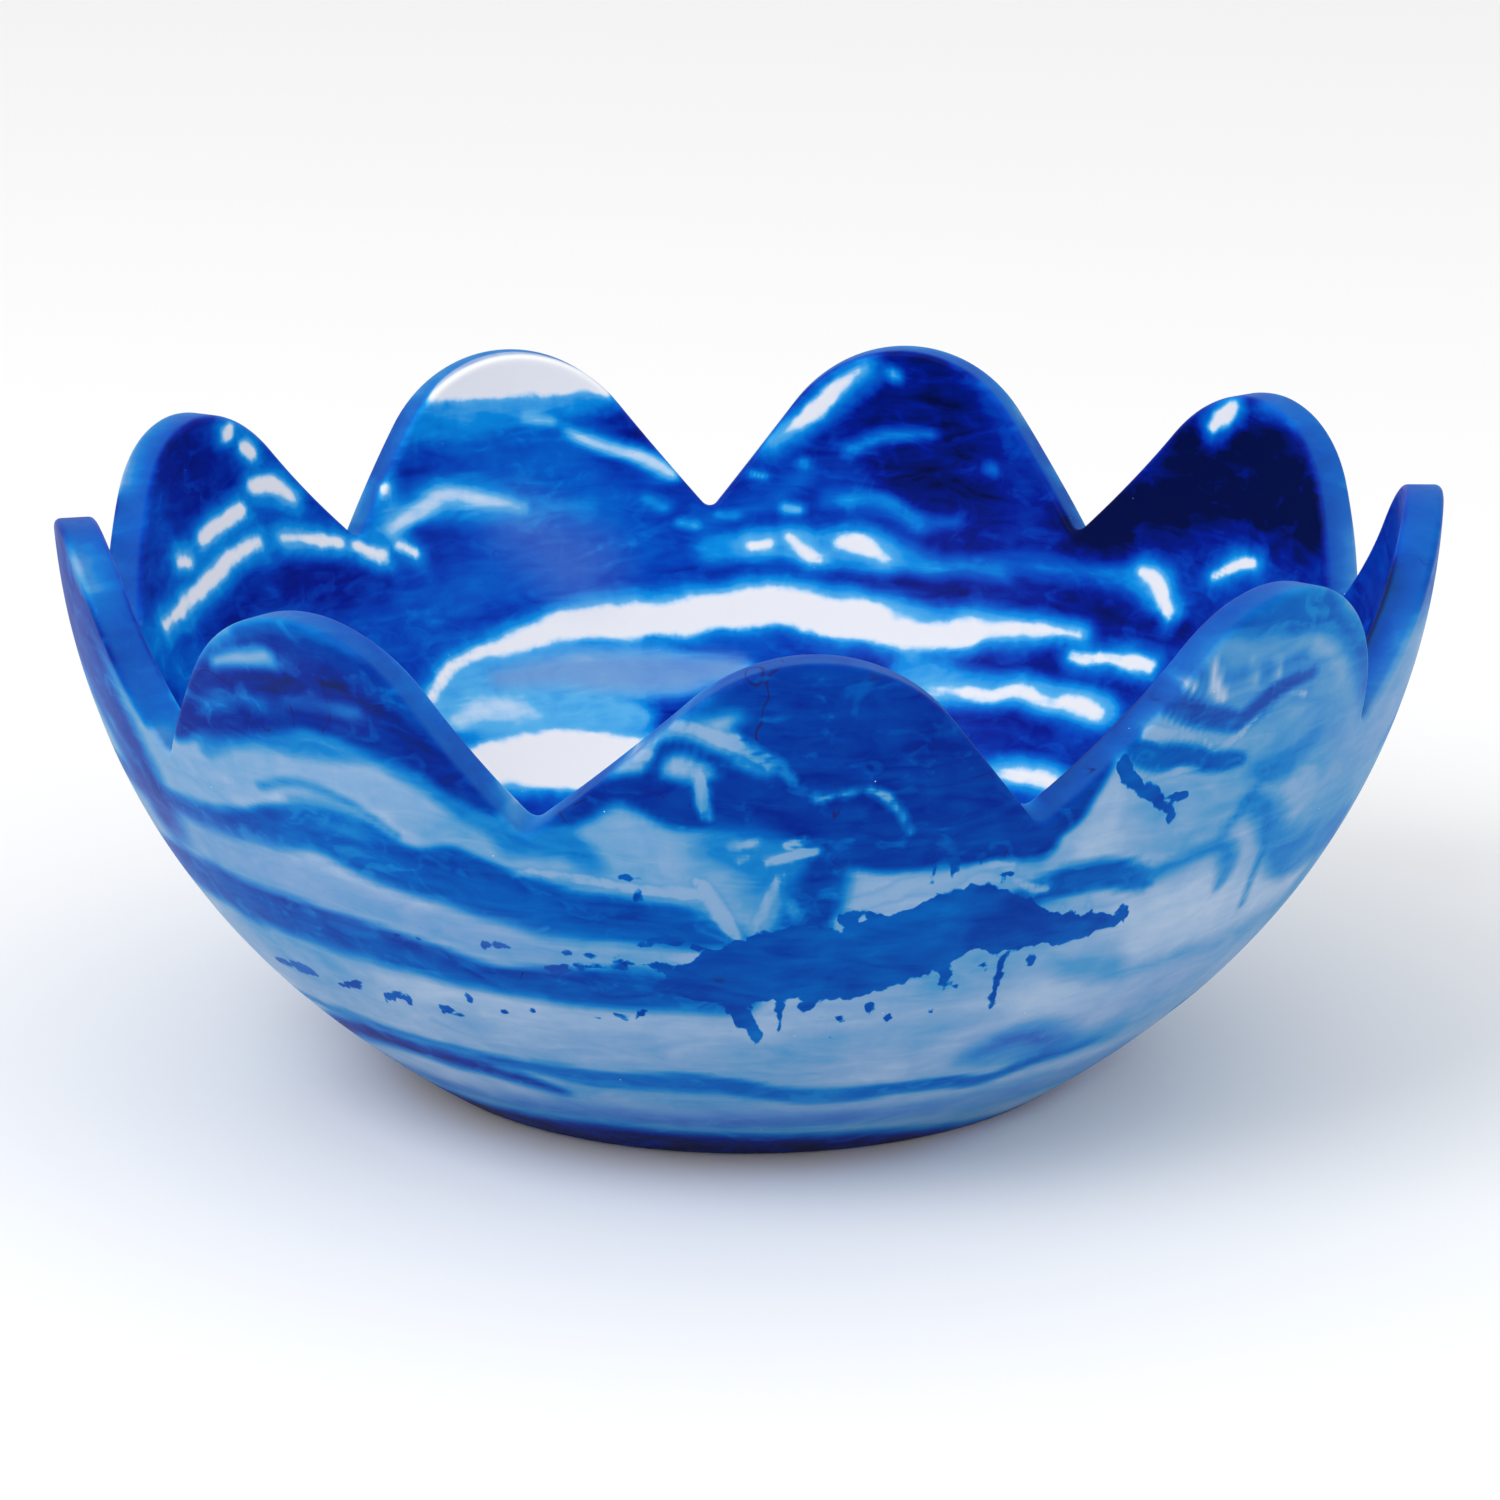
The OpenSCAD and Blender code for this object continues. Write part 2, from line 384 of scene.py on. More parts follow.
# Tones run from milky white at 0 through cyan at 0.3, azure at 0.5 and cobalt at 0.75 to navy at 1.
# A wash is tone, softness, strength and its path. A path's points are the angle round the bowl,
# the height, and half the width. Angles count from +X, so -90 is the first petal.
outsideWashes = [
    # foot and the pours just above it. The first, darkest wash is partly the resin's navy band and partly
    # painted shade on the bottom, which faces down
    (0.97, 5, 1.0, [(-180, 2, 7), (-140, 3, 8), (-100, 3, 9), (-70, 1, 7), (-50, -3, 6), (-20, -4, 6)]),
    (0.60, 4, 0.75, [(-160, 11, 3), (-120, 13, 3), (-90, 13.5, 3.5), (-70, 13, 2)]),
    (0.34, 4, 0.8, [(-76, 13, 2.5), (-60, 14, 5), (-45, 13, 7), (-25, 12, 7)]),
    (0.92, 3, 0.95, [(-170, 12, 3), (-160, 17, 3), (-150, 22, 3.5), (-140, 24.5, 3.5), (-130, 24, 3.2),
     (-122, 22, 2.2), (-117, 19.5, 0.8)]),
    (0.56, 1.8, 0.95, [(-176, 17, 2), (-158, 26, 1), (-140, 28.5, 1), (-128, 27.5, 1.2), (-120, 26, 2),
     (-112, 25.5, 2.6), (-104, 26, 2.8), (-97, 25, 2.8), (-91, 22.5, 2.4), (-85, 21, 2.6), (-78, 22, 2.6),
     (-71, 22, 2.6), (-66, 21, 2.2), (-60, 24, 2.2), (-52, 25, 1)]),
    (0.66, 1.2, 0.6, [(-118, 27.5, 0.6), (-104, 28, 0.8), (-97, 27, 0.8), (-91, 24, 0.6), (-78, 23.5, 0.7),
     (-66, 22.5, 0.5)]),
    (0.84, 7, 0.8, [(-69, 31, 2), (-65, 33, 3.5), (-61, 30, 3), (-60, 26, 2)]),
    (0.45, 5, 0.6, [(-66, 28, 2), (-60, 27, 4), (-50, 26, 3)]),
    (0.42, 5, 0.5, [(-62, 10, 3), (-52, 12, 2.5)]),
    (0.02, 5, 0.6, [(-125, 44, 2), (-100, 42, 3), (-80, 44, 3), (-62, 46, 3)]),
    # white milky resin on the front right, made paler still by a painted sheen
    (0.02, 5, 0.8, [(-60, 62, 4), (-55, 58, 7), (-46, 55, 7), (-34, 56, 8)]),
    (0.28, 3, 0.7, [(-66, 52, 2), (-61, 50, 4), (-56, 46, 2), (-48, 46, 1.5), (-42, 45, 1.2)]),
    # waist: a dark upper edge over azure
    (0.62, 2.4, 1.0, [(-180, 47, 3.4), (-165, 53, 4.6), (-150, 53, 4.6), (-138, 53, 4.6),
     (-128, 51.6, 4.4), (-120, 50, 3.5), (-110, 49.5, 4), (-102, 50, 4.5), (-96, 50, 4.5)]),
    (0.70, 1.6, 0.95, [(-180, 51, 1.5), (-165, 57, 2), (-152, 58, 1.6), (-140, 57.5, 1.6),
     (-132, 57.5, 1.6), (-126, 55, 2.2), (-120, 52.5, 2.2), (-116, 51.5, 2), (-110, 52.5, 3),
     (-104, 53.5, 3), (-98, 53, 3)]),
    (0.20, 2.4, 0.9, [(-180, 62, 2), (-165, 66, 2.6), (-150, 65, 3), (-140, 65, 3.4), (-133, 64.5, 4),
     (-127, 62, 4.2), (-121, 60, 3.6), (-115, 58.5, 3.2), (-110, 59, 2), (-105, 58.5, 1.2),
     (-99, 59, 1.6)]),
    (0.62, 2, 1.0, [(-176, 70, 3), (-160, 72, 2.6), (-148, 73, 2.8), (-140, 75, 3.6), (-132, 77, 4),
     (-126, 74, 5.4), (-119, 72, 6), (-112, 68, 6), (-106, 67, 5.2), (-100, 66, 4.5), (-96, 64, 3)]),
    (0.68, 1.5, 0.9, [(-156, 72.5, 0.6), (-150, 73, 0.7), (-143, 75, 0.9), (-139, 78, 1.2),
     (-134, 80.5, 1.5), (-129, 82, 1.6), (-126, 80.5, 2), (-123, 77, 2), (-119, 77.5, 2.4), (-116, 76, 2),
     (-113, 73, 2.4), (-110, 71, 2.6), (-106, 69, 3), (-100, 68, 2.5)]),
    # the cloud under the front left petal, and the smoky petal
    (0.14, 2.5, 0.9, [(-154, 79, 4), (-147, 82, 5), (-141, 86.5, 5.4), (-136, 89, 4.6), (-131, 91, 3.6),
     (-126, 92, 3.6), (-123, 88, 3.6), (-121, 83, 2.4)]),
    (0.18, 2, 0.9, [(-120.5, 82, 1.5), (-118, 83.5, 2.4), (-115, 80, 2), (-112.5, 77, 0.8)]),
    (0.44, 1.2, 0.8, [(-137, 84.5, 0.7), (-133, 87, 0.8), (-129.5, 86.5, 0.9), (-126, 84.5, 0.8),
     (-123.5, 81, 0.6)]),
    (0.36, 2, 0.7, [(-134, 83.5, 0.8), (-130, 84, 1.2), (-127, 82.5, 0.8)]),
    (0.48, 2, 0.9, [(-143, 90, 2), (-138, 95, 2.5), (-131, 95, 2), (-125, 97, 1.6), (-120.5, 93, 2.4),
     (-116, 88, 3), (-112.5, 83, 2)]),
    (0.88, 1.8, 0.95, [(-147, 91.5, 3), (-141.5, 97, 4.5), (-135, 102, 6), (-128, 105.5, 7),
     (-122, 103, 7.5), (-117.5, 95, 4), (-114.5, 89, 1.6)]),
    (0.86, 2.5, 0.95, [(-143, 101, 3), (-138, 108, 5), (-131, 112, 6), (-124, 110, 6)]),
    (0.12, 1.8, 0.95, [(-139.8, 107.6, 1.4), (-137, 109.4, 2.2), (-134.2, 110.4, 2),
     (-132.8, 108.6, 0.9)]),
    (0.34, 2, 0.75, [(-132, 104, 1), (-129, 106, 1.8), (-125.6, 105, 1.2)]),
    (0.3, 2.4, 0.7, [(-142, 98, 0.8), (-138.6, 101.6, 1.4), (-135, 101, 0.8)]),
    (0.50, 2.5, 0.45, [(-143, 99, 0.8), (-138, 101.5, 1), (-133, 101, 0.8)]),
    (0.76, 1.6, 0.95, [(-128, 113.5, 1.6), (-122.5, 110, 3), (-118.5, 103, 3), (-115.5, 96, 1.8),
     (-112.5, 88.5, 0.8)]),
    (0.90, 2.5, 0.9, [(-139, 104, 2), (-134, 106, 2.5), (-127, 109, 3)]),
    (0.64, 2, 0.8, [(-137, 115, 1), (-130, 118.5, 1.4), (-123, 116, 1.5), (-117.5, 108, 1)]),
    # front petal
    (0.78, 2, 1.0, [(-99, 111, 2), (-95, 114, 4), (-90, 113, 7), (-84, 112, 7), (-79.5, 106, 4.5)]),
    (0.78, 2, 1.0, [(-94, 105, 4), (-89, 104, 10), (-83, 101, 11), (-78, 96, 8), (-74, 89.5, 4),
     (-71, 85, 2)]),
    (0.78, 1.6, 1.0, [(-97, 91, 4), (-91, 90, 8), (-85, 86.5, 9), (-78, 83.5, 7), (-71, 80.5, 4)]),
    (0.76, 2.5, 0.95, [(-89, 84, 5), (-88.5, 76, 5.5), (-89, 68, 5), (-91, 62, 4)]),
    (0.82, 1.6, 0.95, [(-111, 86, 1.6), (-107, 90.5, 3.4), (-103, 93, 4.2), (-99, 92, 5), (-95, 94, 5)]),
    (0.82, 1.4, 0.95, [(-101.6, 97, 1.2), (-100.6, 102.5, 1.4), (-98.6, 103.6, 1.3), (-96.6, 101, 1.5),
     (-95, 96, 2)]),
    (0.50, 2.5, 0.8, [(-101, 107.5, 1.6), (-98, 111, 2.2)]),
    (0.46, 2.5, 0.9, [(-113, 82, 3), (-109, 83, 3.4), (-107, 79, 2.5)]),
    (0.16, 1.8, 0.9, [(-106.5, 86, 2.2), (-104, 87, 3.6), (-102, 83.5, 4), (-101, 78, 4)]),
    (0.42, 3, 0.9, [(-97, 84, 3), (-94, 82, 5), (-91, 79, 4), (-93, 74, 3)]),
    (0.55, 3, 0.7, [(-91, 74, 1.4), (-90.6, 69, 1.6), (-91, 64, 1)]),
    (0.68, 2, 0.7, [(-89, 98, 0.8), (-84, 97, 1), (-80, 92, 1)]),
    (0.90, 2.5, 0.7, [(-92, 97, 1.5), (-86, 98, 1.8), (-82, 101.5, 1.2), (-80, 106, 0.8)]),
    (0.90, 2.5, 0.6, [(-90, 86, 2), (-88.5, 79, 1.6), (-90, 72, 1)]),
    (0.66, 2.5, 0.6, [(-80, 84, 2), (-75, 84.5, 2.5), (-71.5, 84, 1.5)]),
    # front right petal
    (0.30, 4, 0.95, [(-60, 108, 5), (-52, 106, 10), (-45, 97, 10), (-40, 86, 7)]),
    (0.08, 2.5, 0.95, [(-65.6, 94, 2), (-65.4, 87, 4), (-65.8, 79, 4.5), (-62, 80, 3)]),
    (0.22, 5, 0.8, [(-60, 82, 6), (-54, 80, 7), (-52, 88, 5)]),
    (0.58, 2.4, 0.9, [(-64, 116, 3), (-54, 119, 4), (-44, 116, 4.4)]),
    (0.52, 2, 0.8, [(-62, 108, 3), (-57.5, 108, 1.6), (-53.6, 107, 1.4), (-50.8, 107, 1.2),
     (-46.5, 107, 1.4)]),
    (0.02, 0.9, 1.0, [(-59.8, 113, 0.6), (-59, 109.4, 1.2), (-58.2, 106.4, 1)]),
    (0.02, 0.9, 1.0, [(-56.2, 111, 0.6), (-55.8, 106.6, 1.4), (-55, 103.6, 1.2)]),
    (0.08, 0.9, 0.85, [(-52.4, 110, 0.3), (-52, 104.6, 0.6)]),
    (0.06, 1.1, 0.9, [(-49.6, 109, 0.4), (-49.4, 105, 1)]),
    (0.36, 4, 0.8, [(-47, 104, 2), (-44, 100, 3)]),
    (0.62, 1.0, 1.0, [(-65, 103, 1.2), (-63.4, 98, 2.4), (-61, 94.8, 2.6), (-57.6, 93, 2.3),
     (-54, 91, 2.1), (-52, 89.4, 0.8)]),
    (0.64, 0.9, 1.0, [(-62.8, 112, 2), (-61, 107.5, 3), (-58.6, 103, 2.6), (-55.4, 99.8, 2.2),
     (-53, 97.8, 2), (-51.4, 99.6, 2.2), (-48.6, 102.4, 2), (-45, 103.6, 1.3)]),
    (0.74, 1.4, 1.0, [(-72, 80, 2), (-69.6, 85, 3.2), (-67.8, 91, 2.8), (-65.8, 98, 2.2),
     (-63.8, 105, 1.6)]),
    (0.46, 3, 0.9, [(-50, 87, 2), (-46.6, 86, 3.6), (-43, 88.5, 1.8)]),
    (0.44, 3, 0.9, [(-50, 80, 2.4), (-47.4, 76, 3), (-44.4, 70, 3.6), (-41, 65, 4.6), (-36, 62, 6),
     (-28, 62, 6)]),
    (0.55, 1.4, 0.7, [(-47.4, 78, 0.6), (-45.2, 69, 0.7), (-44.4, 61, 0.6), (-43, 54.6, 0.3)]),
    (0.14, 2.5, 0.7, [(-42, 80, 3), (-39.5, 76, 2)]),
    (0.60, 1.2, 1.0, [(-72, 68, 2), (-68, 71.6, 3.2), (-64.4, 72.4, 3.4), (-61.6, 70, 2.8),
     (-59.6, 68, 1.4)]),
    (0.42, 2, 0.9, [(-60, 69, 1.8), (-56, 70, 1.6), (-52, 70.4, 1.8), (-49.6, 66, 2.4), (-49.4, 62, 1)]),
    (0.50, 2, 0.8, [(-52, 74, 0.6), (-50, 80, 1), (-49, 84, 1.2)]),
    # sides
    (0.60, 4, 0.85, [(-42, 113, 3), (-37, 102, 4), (-34, 93, 3.4)]),
    (0.20, 6, 0.8, [(-30, 84, 6), (-18, 76, 8), (-6, 70, 8)]),
    (0.44, 3, 0.8, [(-26, 58, 1), (-18, 55, 2.6), (-8, 53, 3.4), (0, 54, 3.6)]),
    (0.66, 2, 0.85, [(-22, 56, 0.6), (-14, 57, 1.2), (-5, 57.5, 1.8), (0, 57, 1.8)]),
    (0.52, 2.4, 0.85, [(-34, 24, 1), (-22, 25, 2), (-10, 23, 2.6), (0, 24, 2.8)]),
    # dark at the foot on this side too, partly navy resin and partly painted shade on the bottom
    (0.94, 4, 1.0, [(-26, -3, 6), (-10, 1, 7), (0, 2, 7)]),
    (0.56, 2.4, 0.85, [(-24, 78, 1), (-14, 80, 2.6), (-5, 84, 3.6), (0, 84, 4)]),
    (0.10, 2, 0.8, [(-20, 70, 1.5), (-10, 68, 2.6), (0, 69, 3)]),
    (0.60, 5, 0.95, [(-32, 112, 8), (-20, 114, 13), (-10, 112, 13), (2, 106, 12)]),
    (0.86, 2.5, 0.9, [(-176, 116, 2), (-166, 111, 3), (-158, 103, 2.6), (-152, 91, 2)]),
    (0.76, 6, 0.95, [(-188, 112, 14), (-178, 108, 15), (-168, 102, 14), (-160, 84, 11), (-157, 70, 9)]),
    (0.44, 3, 0.6, [(-176, 92, 2), (-166, 88, 2.5), (-160, 80, 2)]),
]
insideWashes = [
    (1.06, 8, 1.0, [(20, 100, 12), (32, 104, 14), (40, 92, 10), (50, 84, 6)]),
    (0.93, 6, 1.0, [(70, 112, 14), (66, 96, 16), (62, 84, 10)]),
    (0.58, 6, 1.0, [(112, 112, 16), (110, 96, 16), (104, 82, 14)]),
    (0.84, 6, 1.0, [(152, 112, 14), (148, 102, 12)]),
    (0.84, 5, 0.9, [(150, 76, 5), (140, 80, 6), (132, 74, 6), (126, 66, 5)]),
    (0.46, 8, 0.8, [(174, 88, 8), (166, 74, 8), (158, 64, 6)]),
    (0.55, 8, 0.8, [(128, 62, 8), (112, 72, 10), (98, 72, 10)]),
    (0.90, 3, 0.9, [(90, 68, 3), (76, 66, 3.5), (62, 66, 4), (46, 66, 4), (34, 66, 4)]),
    (0.55, 4, 0.9, [(8, 92, 4), (13, 100, 4), (18, 114, 4)]),
    (0.50, 3, 0.9, [(20, 119, 3), (28, 120, 3)]),
    (0.62, 3, 0.8, [(53, 98, 2), (57, 106, 2), (62, 114, 2)]),
    (0.34, 5, 0.9, [(124, 106, 4), (114, 107, 5), (104, 107, 4)]),
    (0.40, 3, 0.8, [(112, 106, 1), (106, 104, 1.5), (100, 99, 2.5), (95, 92, 2)]),
    (0.36, 3.5, 0.95, [(126, 84, 4), (121, 89, 5), (114, 87, 5), (107, 84, 3), (102, 83, 1)]),
    (0.1, 2, 0.95, [(124.4, 83, 1.6), (121.6, 86.6, 2.6), (118, 89.4, 1.9), (114, 87.4, 1.9),
     (109.6, 85, 1)]),
    (0.12, 1.8, 0.9, [(107.6, 105.4, 1.2), (105.4, 103.4, 1.1)]),
    (0.1, 2, 0.95, [(104, 101.4, 0.8), (100.4, 98, 1.8), (96.6, 96, 2.2), (93.6, 92, 1.8)]),
    (0.34, 2.4, 0.9, [(96, 86, 1.4), (94.4, 83.4, 1.4)]),
    (0.16, 1.6, 0.9, [(93, 79.4, 1.1), (91.6, 78.8, 1)]),
    (0.2, 1.6, 0.9, [(88.8, 81, 1), (87, 80.6, 1)]),
    (0.2, 1.6, 0.9, [(85, 90.4, 1.1), (84, 89.8, 1)]),
    (0.28, 1.6, 0.9, [(80.2, 92.8, 1.2), (80, 92.2, 1)]),
    (0.14, 1.8, 0.95, [(82, 82.2, 1.6), (80.6, 81.8, 1.4)]),
    (0.26, 1.6, 0.9, [(88.8, 74, 1.4), (88.2, 73, 1.2)]),
    (0.3, 1.6, 0.8, [(60.4, 94.6, 1), (59.8, 94.2, 0.9)]),
    (0.16, 1.8, 0.9, [(71, 115.4, 1.5), (70.6, 114.6, 1.3)]),
    (0.18, 2, 0.95, [(75.6, 84.4, 1), (72.6, 85, 1.5), (70, 83.4, 1.4), (67.6, 80.8, 1.1)]),
    (0.4, 2.4, 0.85, [(67, 81, 1.2), (63, 81.4, 0.9)]),
    (0.42, 4, 0.7, [(158, 90, 3), (148, 94, 3.5), (142, 97, 3), (136, 97, 2)]),
    (0.42, 4, 0.7, [(170, 79, 3), (156, 81, 4), (146, 87, 3.5), (136, 87, 3), (128, 80, 3)]),
    (0.36, 3, 0.95, [(90, 73, 4), (80, 73.5, 4.5), (72, 73, 4.5), (64, 71.6, 2.4), (58, 71.4, 1.8)]),
    (0.40, 3, 0.85, [(60, 72.8, 0.8), (54, 74.6, 1.6), (46, 74.6, 2.4), (39, 75, 4), (35, 71, 3.2)]),
    (0.30, 2.2, 0.9, [(75.4, 95.6, 1.2), (73, 98, 1.5), (70, 100.6, 1.2), (66.6, 101, 0.8)]),
    (0.45, 3, 0.8, [(77, 85, 2), (72, 84, 2), (67, 80.5, 1.5)]),
    (0.45, 3, 0.7, [(92, 79, 2), (84, 83, 2), (80, 90, 2)]),
    (0.32, 3.5, 0.95, [(126, 46, 1.5), (119, 52, 3), (108, 57, 4.5), (95, 60, 5.5), (80, 61, 5.8),
     (68, 58, 5.5), (56, 60, 3.5), (46, 60, 2.5)]),
    (0.32, 3, 0.9, [(66, 53, 3), (62, 51, 2)]),
    (0.26, 3, 1.0, [(120, 49, 4), (110, 47.5, 6.6), (97, 47, 7.4), (88, 48, 6)]),
    (0.64, 1.8, 0.95, [(94, 54, 1.2), (90, 53, 3), (86, 52, 4), (81, 49.5, 3.4), (74, 47, 3)]),
    (0.26, 3, 1.0, [(125, 43, 5), (116, 41.5, 7), (108, 39.5, 6), (100, 37.5, 5)]),
    (0.12, 2.2, 0.95, [(123, 41.6, 2), (119, 43.4, 3), (115, 41.4, 2.4), (112.6, 39, 1.4)]),
    (0.84, 1.8, 1.0, [(64, 50.6, 1.6), (54, 51, 3), (42, 51, 2.6), (30, 52, 3)]),
    (0.34, 2.4, 0.95, [(66, 48, 5), (60, 47, 5), (52, 46, 4.4), (40, 45.6, 4.4)]),
    (0.82, 3, 1.0, [(66, 38, 4), (52, 38, 4.4), (38, 37.6, 4.6)]),
    (0.30, 3, 0.95, [(124, 33, 4), (108, 31, 6), (92, 28, 5), (80, 22, 4)]),
    (0.30, 3, 0.9, [(54, 30, 2.4), (46, 31.4, 3.4), (42, 30.6, 3)]),
    (0.50, 4, 0.8, [(110, 18, 4), (80, 10, 5), (40, 12, 5), (10, 22, 6)]),
    (0.10, 2, 0.9, [(150, 24, 3), (130, 14, 3), (100, 8, 3), (60, 2, 3), (20, 4, 2), (-10, 14, 1)]),
    (0.12, 3, 0.9, [(170, 10, 2), (150, -2, 4), (110, -14, 5), (60, -20, 4), (10, -18, 3)]),
    (0.90, 4, 0.9, [(200, -10, 5), (150, -26, 7), (80, -36, 8), (20, -30, 6)]),
]
lilacVeilsAndHighlightHaze = [
    (0.5, 5, "outside", [(-170, 12, 3), (-120, 14, 4), (-90, 15, 5), (-66, 13, 4), (-40, 16, 5)]),
    (0.3, 6, "outside", [(-176, 62, 6), (-150, 66, 6), (-130, 63, 5), (-112, 58, 3)]),
    (0.08, 4, "outside", [(-144, 104, 4), (-134, 109, 6), (-126, 106, 5)]),
    (0.15, 6, "outside", [(-62, 108, 5), (-50, 104, 9), (-38, 92, 8)]),
    (0.3, 8, "outside", [(-70, 34, 4), (-60, 33, 6), (-45, 40, 6)]),
    (0.3, 9, "outside", [(-34, 84, 10), (-20, 90, 12), (-8, 96, 12)]),
    (0.06, 8, "outside", [(-178, 96, 8), (-164, 88, 6), (-158, 60, 6)]),
    (0.75, 3, "inside", [(116, 49, 2), (107, 48, 4), (97, 47, 5), (88, 47, 3)]),
    # a broad soft lilac patch mid-height on the inside is a painted highlight haze
    (0.4, 9, "inside", [(110, 80, 5), (104, 70, 8)]),
]
milkStrokes = {
    "outside": [
        [(-104.6, 100, 1), (-103.2, 101.6, 1.8), (-101.8, 101, 0.8)],
        [(-104.4, 103.6, 0.6), (-103, 105, 0.8), (-101.4, 104.4, 0.5)],
        [(-101.6, 107, 0.7), (-98.4, 107.2, 0.9), (-95.6, 104, 0.8), (-92.8, 99, 0.5)],
        [(-95.6, 105.4, 0.3), (-93, 101.6, 0.4), (-91.4, 96.6, 0.3)],
        [(-98.2, 99.4, 0.5), (-97.8, 95, 1.1), (-97.7, 90, 0.6)], [(-89.4, 93.2, 0.5), (-87, 93, 0.8)],
        [(-85.8, 93.6, 0.5), (-84, 92, 1), (-82.6, 88.4, 0.9), (-81.6, 84.6, 0.3)],
        [(-95.6, 83.6, 0.8), (-94, 84.4, 0.8)], [(-95, 80.6, 0.5), (-94.2, 81.6, 0.4)],
        [(-92.6, 79.6, 0.7), (-90.6, 81.6, 0.8), (-89, 82, 0.6)],
        [(-91.4, 83.6, 0.4), (-90.4, 84.4, 0.4)],
        [(-113, 75, 0.8), (-108, 75.6, 0.7), (-104.6, 74.4, 1.1), (-100.6, 73.6, 1.4), (-98.4, 73.4, 1)],
        [(-98.6, 76, 1), (-97.4, 71.6, 1.6), (-96, 66.6, 1.6), (-94.7, 61.6, 0.3)],
        [(-91.6, 77, 0.5), (-92.6, 72, 1), (-94, 66, 1)], [(-90.8, 70.6, 0.5), (-90.2, 68.4, 0.6)],
        [(-101.6, 59.4, 1), (-99.4, 59, 1.7), (-97.9, 58, 1)],
        [(-87, 67, 0.5), (-86.4, 64, 0.8), (-85.4, 62.8, 0.7), (-84.6, 65, 0.7)],
        [(-85.6, 70, 0.8), (-83.6, 72, 1.5), (-81, 73.6, 1.9), (-78, 73.6, 2), (-76, 75.6, 0.9),
         (-72.8, 75.6, 0.6)],
        [(-73.6, 74.6, 0.5), (-71, 71, 1), (-69.4, 70.6, 0.8)], [(-88.4, 59.6, 0.7), (-87.2, 58, 1.2)],
        [(-85, 57.8, 0.4), (-84.6, 59.6, 0.2)], [(-67.6, 65, 0.5), (-67.4, 67, 0.3)],
        [(-65.3, 68, 0.2), (-64.8, 65, 0.4)], [(-69, 66.4, 0.3), (-68.8, 64.4, 0.2)],
        [(-63.6, 104.6, 0.4), (-62.8, 101, 1.4), (-61, 98.6, 1.3), (-59.6, 98.6, 0.5)],
        [(-57.2, 98, 0.5), (-56, 95.4, 1), (-54.8, 93.4, 0.4)],
        [(-54.2, 94, 0.6), (-52.8, 95, 0.7), (-51, 98.4, 0.5), (-48, 100, 0.5), (-45.6, 99.6, 0.2)],
        [(-61.6, 91, 0.3), (-59, 91, 0.6), (-56.6, 90.6, 0.3)],
    ],
    "inside": [
        [(144.6, 114.5, 1.8), (144.3, 116, 1.5)], [(142.2, 111, 1.9), (140.8, 108.5, 1.4)],
        [(150.5, 92.5, 1.5), (147.5, 94.5, 1.9), (143.5, 96.5, 1.9)],
        [(141, 101, 2), (138, 100, 2.1), (135.6, 96, 1.4)], [(156, 90.5, 0.9), (154, 89, 1.4)],
        [(163, 80.2, 1.2), (157, 81.5, 1.8), (151, 84, 2), (146, 87.5, 1.6), (142, 88.5, 1.2)],
        [(138, 88, 1.4), (134, 86, 1.6), (131, 83.5, 1)], [(129, 82, 1.2), (126.6, 78.5, 1.5)],
        [(124, 79.5, 1), (122.6, 77.5, 1.4)],
        [(122, 118, 6), (115, 121, 10.4), (107, 121, 11), (100, 117, 7.1)],
        [(125.8, 99, 1.6), (125, 94, 2.4)],
        [(74.2, 116.5, 2.4), (76.5, 112, 2.9), (78.4, 107, 2.6), (80.5, 102.5, 2.1), (83, 98, 1.5)],
        [(85.6, 73.6, 1.7), (84, 73.4, 1.6)], [(81.6, 75, 1.2), (79.6, 71.6, 1.5), (78.2, 70.6, 1.1)],
        [(76, 75, 1.9), (73.2, 74.4, 2.4), (70.6, 71.8, 1.5)],
        [(41, 77, 1.2), (38.6, 76, 2.3), (36.6, 71, 1.6), (35.8, 68, 0.8)],
        [(125, 47.5, 0.9), (122.5, 51.5, 1.5), (118, 54.5, 2), (112, 56.2, 2.8), (106, 57.6, 3.6),
         (100, 58.4, 4), (94, 59, 4.4), (88, 60, 4.8), (82, 60.2, 4.8), (76, 57.6, 5.3), (70, 56.4, 4.8),
         (64, 56.2, 3.4), (58, 58.6, 2.3), (52, 59.6, 1.6), (47, 59.6, 0.9)],
        [(46.8, 54.6, 1.2), (44.4, 55, 1.9), (42, 56.2, 1.3), (39, 57, 1.9), (36, 57, 1.4)],
        [(63, 44.6, 1), (60, 45.6, 1.6), (56, 44.6, 1.9), (52, 46, 2), (48, 44.6, 1.6), (45, 46, 2.1),
         (41, 45.2, 1.6)],
        [(124, 32, 5), (112, 30.6, 7.4), (102, 28, 7.6), (90, 24, 6)],
        [(51, 30, 1), (47, 30.6, 2), (43, 30.4, 2)],
        [(35.2, 112, 1.8), (34, 115.5, 2.5), (33, 118.5, 1.8)],
        [(31, 79, 1.1), (29, 82, 1.8), (26, 84, 1.2)],
        [(150, 24, 1.5), (130, 14, 2), (100, 8, 2), (60, 2, 1.9), (20, 4, 1)],
        [(160, 4, 1), (140, -6, 2.4), (110, -14, 3), (60, -20, 2.1), (20, -19, 1)],
    ],
}
